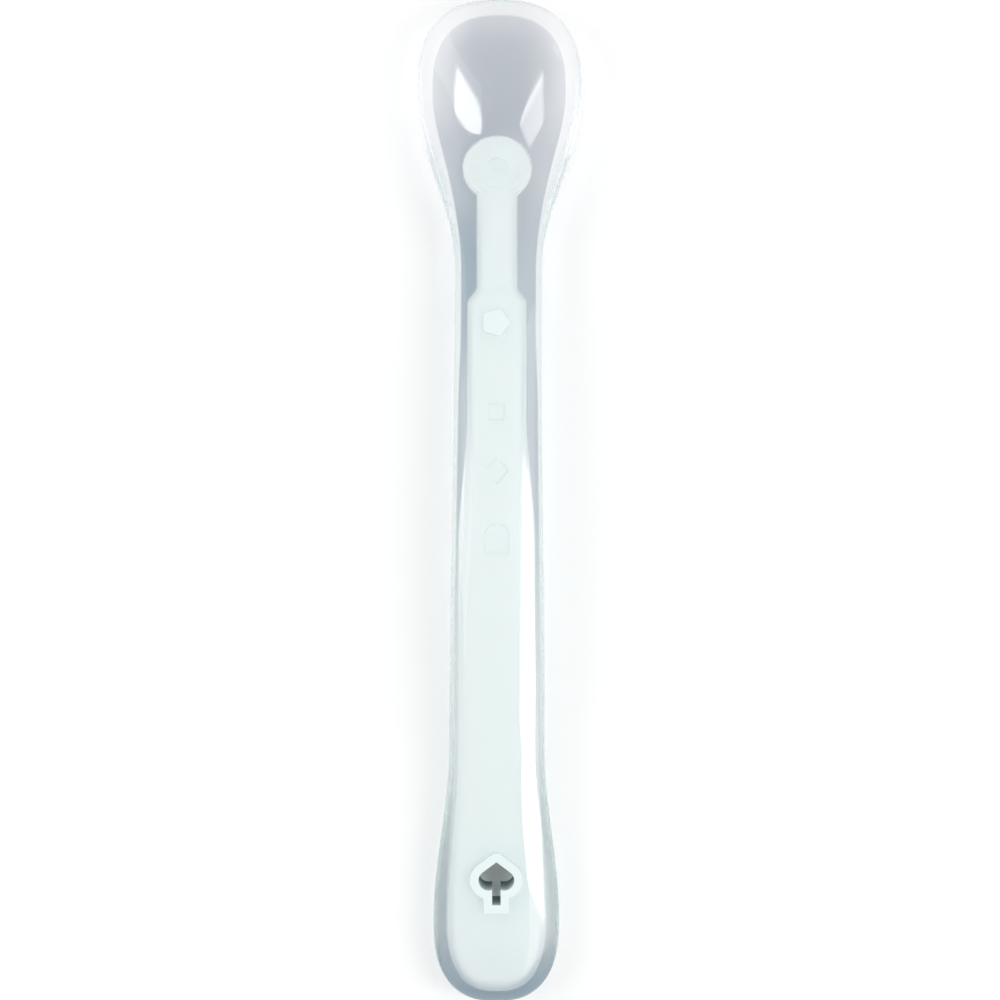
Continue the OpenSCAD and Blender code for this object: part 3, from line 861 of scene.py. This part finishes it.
class SPOON_OT_silicone_body(bpy.types.Operator):
    """Build the clear silicone moulding with its hollow bowl and the opening round the collar"""
    bl_idname = "spoon.silicone_body"
    bl_label = "Silicone body"

    def execute(self, context):
        d = sizes_of(context.scene)
        tip, end = d.spoon_len / 2, -d.spoon_len / 2
        rings = [body_ring(d, s) for s in body_places(d)]
        body = loft("silicone_skin", (0, tip, d.edge_h), rings, (0, end, middle_h(d, d.spoon_len)))
        opening = prism(spade(d, d.collar_wall / 2), -d.tail_t, d.tail_t)
        place_piece(opening, turn_matrix(d) @ seat_matrix(d, d.hole_middle_at))
        cut(body, opening)
        self.add_boss(d, body)
        shade(body)
        self.mark_shade(d, body)
        self.mark_highlight_coat(d, body)
        self.mark_satin(d, body)
        body.data.materials.clear()
        body.data.materials.append(silicone_material(context.scene.spoon_finishes))
        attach(body, ROOT)
        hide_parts("silicone_body")
        return {"FINISHED"}

    def add_boss(self, d, body):
        boss = cylinder(d.disc_d + 2 * d.boss_wall, -d.disc_t / 2, d.disc_t / 2 + d.boss_skin)
        apply_modifier(boss, "BEVEL", width=d.boss_skin / 2, segments=6, angle_limit=EDGE_ANGLE)
        inset_top(boss, d.boss_wall)
        place_piece(boss, turn_matrix(d) @ disc_matrix(d))
        cut(body, boss, "UNION")

    def mark_shade(self, d, body):
        """Marks painted shade where the eye looks through clear silicone past the core, and not through the
        lip.
        """
        values = []
        for v in body.data.vertices:
            s, x = d.spoon_len / 2 - v.co.y, v.co.x
            in_tail = between(s, d.tail_flare_at, d.tail_wide_at)
            rim = mix(mix(lip_at(d, s), GRIP_RIM, between(s, d.stud_at, d.square_at)), TAIL_RIM, in_tail)
            inset = inset_of(d, abs(x), s, 4 * d.lip_w)
            inside = clamped((inset - rim) / mix(BOWL_FADE, TAIL_FADE, in_tail) + 1)
            across = x + (d.hole_middle_at - s) * math.tan(d.core_turn)
            reach = math.hypot(across, s - d.disc_at) - d.disc_d / 2
            level = self.shade_level(d, s, x, inset - rim) + self.disc_shadow(d, s, across, reach)
            level *= inside * self.past_core(d, s, across) * clamped(reach / DISC_FADE)
            # A faint painted shade at the tip of the bowl.
            tip = TIP_SHADE * (1 - between(s, d.lip_w, 3 * d.lip_w)) * clamped(inset / d.lip_w)
            upper = clamped((v.normal.z - UPPER_FROM) / UPPER_OVER)
            values.append(max(level, tip) * upper)
        self.mark(body, "see_through", values)

    def shade_level(self, d, s, x, past_rim):
        """Depth of the painted shade, which changes along the spoon and from side to side."""
        level = BOWL_SHADE + BOWL_DEEPER * clamped(past_rim / BOWL_DEEPER_OVER)
        level -= SIDE_LIGHTER * clamped(abs(x) / SIDE_FROM - 1)
        for start, end, left, right in SHADE_STEPS:
            level = mix(level, left if x < 0 else right, between(s, getattr(d, start), getattr(d, end)))
        return level

    def past_core(self, d, s, across):
        """One beside the core and nothing over it, with an even edge at its shoulder too."""
        if s <= d.disc_at or s >= d.core_end_at:
            return 1.0
        step = 0.05 * MM
        slope = (core_half(d, s + step, seen=True) - core_half(d, s - step, seen=True)) / (2 * step)
        outside = (abs(across) - core_half(d, s, seen=True)) / CORE_FADE
        return clamped(outside / math.hypot(1, slope) + 0.5)

    def disc_shadow(self, d, s, across, reach):
        """Painted shadow at the upper left of the disc."""
        if s >= d.neck_full_at:
            return 0.0
        sideways, forwards = DISC_SHADOW_WAY
        facing = clamped((forwards * (d.disc_at - s) + sideways * across) / (d.disc_d / 2))
        return DISC_SHADOW * facing * math.exp(-max(0.0, reach) / DISC_SHADOW_REACH)

    def mark_highlight_coat(self, d, body):
        """Marks where the coat adds to the lamp highlights, a painted highlight strength: two faces in the
        bowl and one along the grip.
        """
        values = []
        for v in body.data.vertices:
            s, x = d.spoon_len / 2 - v.co.y, v.co.x
            if v.normal.z < 0:
                values.append(0.0)
                continue
            place = (x / MM, s / MM)
            left, right, grip = [clamped(depth_inside(face, *place) / HIGHLIGHT_FADE)
                                 for face in (HIGHLIGHT_LEFT, HIGHLIGHT_RIGHT, HIGHLIGHT_GRIP)]
            past_edge = beyond(*HIGHLIGHT_RIGHT[-2:], *place)
            streak = mix(STREAK_LEAST, 1.0, clamped(STREAK_FROM - past_edge / STREAK_FADE))
            values.append(max(left, right * streak, grip))
        self.mark(body, "polish", values)

    def mark_satin(self, d, body):
        """Marks the underside, which is satin where the upper side is polished."""
        values = []
        for v in body.data.vertices:
            s = d.spoon_len / 2 - v.co.y
            widest = mix(d.edge_h, middle_h(d, s), neck_blend(d, s))
            values.append(clamped((widest - v.co.z) / SATIN_FADE) if v.normal.z < 0 else 0.0)
        self.mark(body, "satin", values)

    def mark(self, body, name, values):
        marks = body.data.attributes.new(name, "FLOAT", "POINT")
        marks.data.foreach_set("value", values)


class SPOON_OT_stiff_core(bpy.types.Operator):
    """Build the mint core with its disc, shoulder, stud, sunk figures and keyhole collar"""
    bl_idname = "spoon.stiff_core"
    bl_label = "Stiff core"

    def execute(self, context):
        d = sizes_of(context.scene)
        start = (0, d.spoon_len / 2 - d.disc_at, core_line(d, d.disc_at))
        finish = (0, d.spoon_len / 2 - d.core_end_at, core_line(d, d.core_end_at))
        places = core_places(d)
        places[0] += d.disc_step_h
        core = loft("mint_core", start, [core_ring(d, s) for s in places], finish)
        mark_faces(core, "bare", 0.0)
        self.add_disc(d, core)
        self.add_stud(d, core)
        self.add_collar(d, core)
        self.sink_figures(d, core)
        place_piece(core, turn_matrix(d))
        shade(core)
        core.data.materials.clear()
        core.data.materials.append(core_material(context.scene.spoon_finishes))
        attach(core, ROOT)
        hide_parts("stiff_core")
        return {"FINISHED"}

    def add_disc(self, d, core):
        half = d.disc_t / 2
        disc = cylinder(d.disc_d, -half, half - d.disc_step_h)
        apply_modifier(disc, "BEVEL", width=d.edge_round, segments=3, angle_limit=EDGE_ANGLE)
        for wide, high in ((d.disc_d - 2 * d.disc_step_w, half - d.disc_step_h / 2), (d.ring_d, half)):
            top = cylinder(wide, -half / 2, high)
            apply_modifier(top, "BEVEL", width=d.disc_step_h / 3, segments=3, angle_limit=EDGE_ANGLE)
            cut(disc, top, "UNION")
        cut(disc, cylinder(d.sink_d, half - d.disc_step_h, half + d.disc_t))
        cut(disc, cylinder(d.dot_d, -half / 2, half), "UNION")
        place_piece(disc, disc_matrix(d))
        cut(core, disc, "UNION")

    def add_stud(self, d, core):
        fifth, reach, outline = math.radians(72), d.stud_d / 2 - d.stud_round, []
        for i in range(5):
            x, y = reach * math.cos(i * fifth), reach * math.sin(i * fifth)
            outline += arc(x, y, d.stud_round, (i - 0.5) * fifth, (i + 0.5) * fifth, 8)
        stud = prism(outline, 0, half_t(d, d.stud_at) + d.stud_proud)
        apply_modifier(stud, "BEVEL", width=d.edge_round, segments=4, angle_limit=EDGE_ANGLE)
        shift = Matrix.Translation((-d.stud_d / 4 * (1 - math.cos(fifth / 2)), 0, 0))
        place_piece(stud, seat_matrix(d, d.stud_at) @ shift)
        mark_faces(stud, "bare", 0.5)
        cut(core, stud, "UNION")

    def add_collar(self, d, core):
        low = half_t(d, d.hole_middle_at) - d.collar_sink
        high = half_t(d, d.hole_middle_at) + d.collar_proud
        outer = prism(spade(d, d.collar_wall), -low, high)
        place_piece(outer, seat_matrix(d, d.hole_middle_at))
        mark_faces(outer, "bare", 0.5)
        cut(core, outer, "UNION")
        hole = prism(spade(d, 0.0), -d.tail_t, d.tail_t)
        # The keyhole walls take painted shade, graded by depth below.
        mark_faces(hole, "bare", 1.0)
        place_piece(hole, seat_matrix(d, d.hole_middle_at))
        cut(core, hole)
        rim = (seat_matrix(d, d.hole_middle_at) @ Vector((0, 0, high))).z
        # Painted shade down the keyhole, darker with depth below the collar's rim.
        for corner, loop in zip(core.data.attributes["bare"].data, core.data.loops):
            if corner.value > 0.9:
                corner.value = 0.5 + 0.5 * (rim - core.data.vertices[loop.vertex_index].co.z) / d.keyhole_dusk

    def sink_figures(self, d, core):
        low, high = d.core_grip_t / 2 - d.figure_depth, d.core_grip_t
        half = d.square_w / 2
        square = [(half, -half), (half, half), (-half, half), (-half, -half)]
        wide, tall = d.diamond_w / 2, d.diamond_len / 2
        diamond = [(wide, 0), (0, tall), (-wide, 0), (0, -tall)]
        r = d.arch_w / 2
        arch = [(-r, 0), (r, 0)] + arc(0, d.arch_len - r, r, 0, math.pi, 32)
        for outline, at in ((square, d.square_at), (diamond, d.diamond_at), (arch, d.arch_base_at)):
            flare = 1 + (high - low) / d.figure_depth * d.figure_slope / max(x for x, y in outline)
            figure = prism(outline, low, high, flare)
            mark_faces(figure, "bare", 0.0)
            self.mark_walls(figure)
            place_piece(figure, seat_matrix(d, at))
            cut(core, figure)

    def mark_walls(self, figure):
        """Marks painted shade on the sloped walls at the right and the bottom of a sunk figure."""
        marks = figure.data.attributes["bare"].data
        for face in figure.data.polygons:
            for corner in face.loop_indices:
                marks[corner].value = WALL_SHADE * max(0.0, face.normal.x - face.normal.y)


class SPOON_OT_studio(bpy.types.Operator):
    """Set the floor, the two soft lamps, the world and the camera"""
    bl_idname = "spoon.studio"
    bl_label = "Studio"

    def execute(self, context):
        scene, studio = context.scene, context.scene.spoon_studio
        self.floor(studio)
        self.world(scene, studio)
        for side, sign in (("right", 1), ("left", -1)):
            self.lamp(side, sign, studio)
        self.camera(scene, studio)
        scene.view_settings.view_transform = "Standard"
        scene.cycles.max_bounces = 32
        scene.cycles.diffuse_bounces = 10
        scene.cycles.glossy_bounces = 24
        scene.cycles.transmission_bounces = 24
        scene.cycles.blur_glossy = 0.0
        return {"FINISHED"}

    def floor(self, studio):
        bpy.ops.object.select_all(action="DESELECT")
        bpy.ops.mesh.primitive_plane_add(size=4.0, location=(0, 0, 0))
        floor = settle(bpy.context.active_object, "floor")
        material, tree, shader = new_material("floor_white")
        shader.inputs["Base Color"].default_value = (*studio.floor_tint, 1)
        shader.inputs["Roughness"].default_value = 0.9
        shader.inputs["Specular IOR Level"].default_value = 0.0
        shader.inputs["Emission Color"].default_value = (1, 1, 1, 1)
        level = math_node(tree, "MULTIPLY", seen_directly(tree), studio.floor_glow)
        tree.links.new(level, shader.inputs["Emission Strength"])
        floor.data.materials.append(material)

    def world(self, scene, studio):
        world = bpy.data.worlds.new("studio_world")
        scene.world = world
        world.use_nodes = True
        tree = world.node_tree
        background = tree.nodes["Background"]
        background.inputs["Color"].default_value = (1, 1, 1, 1)
        extra = math_node(tree, "MULTIPLY", seen_directly(tree), 1 - studio.world_level)
        level = math_node(tree, "ADD", extra, studio.world_level)
        tree.links.new(level, background.inputs["Strength"])

    def lamp(self, side, sign, studio):
        """A soft box that leans in from one side and is turned about its own axis."""
        wide, high, power, lean, swing, turn = [
            getattr(studio, side + "_" + key) for key in ("w", "h", "power", "lean", "swing", "turn")]
        data = bpy.data.lights.new(side + "_softbox", "AREA")
        data.shape = "RECTANGLE"
        data.size, data.size_y = wide, high
        data.energy = power
        lamp = bpy.data.objects.new(side + "_softbox", data)
        bpy.context.scene.collection.objects.link(lamp)
        across, along = math.sin(lean) * math.cos(swing), math.sin(lean) * math.sin(swing)
        place = Vector((sign * across, along, math.cos(lean)))
        lamp.location = place * studio.lamp_distance
        aim = (-place).to_track_quat("-Z", "Y").to_matrix() @ Matrix.Rotation(sign * turn, 3, "Z")
        lamp.rotation_euler = aim.to_euler()

    def camera(self, scene, studio):
        data = bpy.data.cameras.new("camera")
        camera = bpy.data.objects.new("camera", data)
        scene.collection.objects.link(camera)
        data.sensor_width = 36.0
        data.lens = studio.camera_lens
        data.clip_start, data.clip_end = 0.01, 10.0
        camera.location = (0.00035, 0.0002, studio.camera_h)
        camera.rotation_euler = (0, 0, studio.camera_roll)
        scene.camera = camera


class SPOON_PT_panel(bpy.types.Panel):
    """Sizes, finishes and steps of the spoon"""
    bl_idname = "SPOON_PT_panel"
    bl_label = "Weaning spoon"
    bl_space_type = "VIEW_3D"
    bl_region_type = "UI"
    bl_category = "Spoon"

    def draw(self, context):
        for group in PROPERTY_GROUPS:
            box = self.layout.box()
            settings = getattr(context.scene, group)
            for key in settings.bl_rna.properties.keys():
                if key not in ("rna_type", "name"):
                    box.prop(settings, key)
        for operator in OPERATORS:
            self.layout.operator(operator.bl_idname)


OPERATORS = (SPOON_OT_silicone_body, SPOON_OT_stiff_core, SPOON_OT_studio)
CLASSES = (*PROPERTY_GROUPS.values(), *OPERATORS, SPOON_PT_panel)


def register():
    for cls in CLASSES:
        bpy.utils.register_class(cls)
    for name, cls in PROPERTY_GROUPS.items():
        setattr(bpy.types.Scene, name, PointerProperty(type=cls))


def unregister():
    for name in PROPERTY_GROUPS:
        delattr(bpy.types.Scene, name)
    for cls in reversed(CLASSES):
        bpy.utils.unregister_class(cls)


def main():
    register()
    bpy.ops.spoon.silicone_body()
    bpy.ops.spoon.stiff_core()
    bpy.ops.spoon.studio()


if __name__ == "__main__":
    main()
